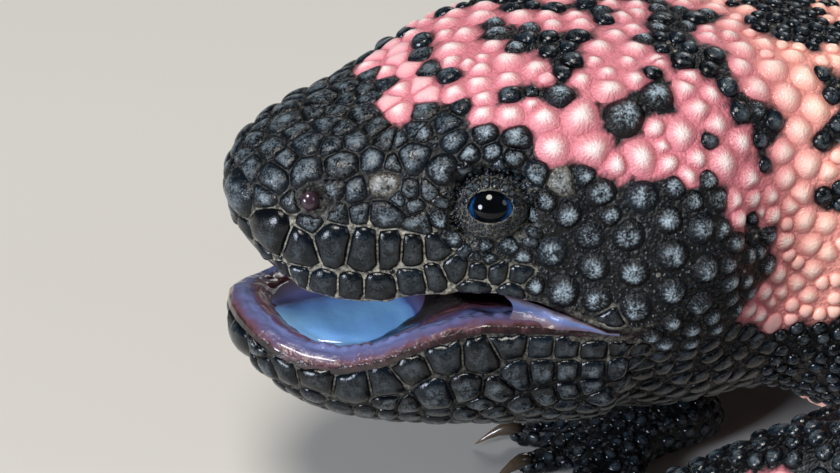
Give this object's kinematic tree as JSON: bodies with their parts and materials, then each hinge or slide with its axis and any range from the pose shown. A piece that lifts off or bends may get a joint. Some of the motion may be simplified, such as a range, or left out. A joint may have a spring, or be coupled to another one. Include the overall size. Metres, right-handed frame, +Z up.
{
  "type": "gila monster",
  "caption": "Still life-size lizard with beaded skin, lying on its belly with the head raised and the mouth a little open.",
  "frame": {"origin": "on the flat of the belly, where it lies on the floor", "axes": "+Z up, -X towards the snout along the head, -Y towards the animal's left side"},
  "size_m": [0.4153, 0.1884, 0.0663],
  "materials": {
    "beaded_skin": "glossy keratin beads, black and salmon pink, over dark granular skin",
    "tongue": "wet azure blue tongue and mouth lining",
    "eye": "wet black pupil in a navy iris",
    "claw": "dark horn, paler at the tip"
  },
  "bodies": {
    "root": {"head": "beaded_skin", "lower_jaw": "beaded_skin", "tongue": "tongue", "eye_left": "eye", "eye_right": "eye", "neck": "beaded_skin", "torso_front": "beaded_skin", "torso_middle": "beaded_skin", "torso_rear": "beaded_skin", "tail_base": "beaded_skin", "tail_middle": "beaded_skin", "tail_tip": "beaded_skin", "upper_arm_left": "beaded_skin", "upper_arm_right": "beaded_skin", "forearm_left": "beaded_skin", "forearm_right": "beaded_skin", "hand_left": "beaded_skin", "hand_right": "beaded_skin", "thigh_left": "beaded_skin", "thigh_right": "beaded_skin", "shin_left": "beaded_skin", "shin_right": "beaded_skin", "foot_left": "beaded_skin", "foot_right": "beaded_skin"}
  },
  "joints": []
}
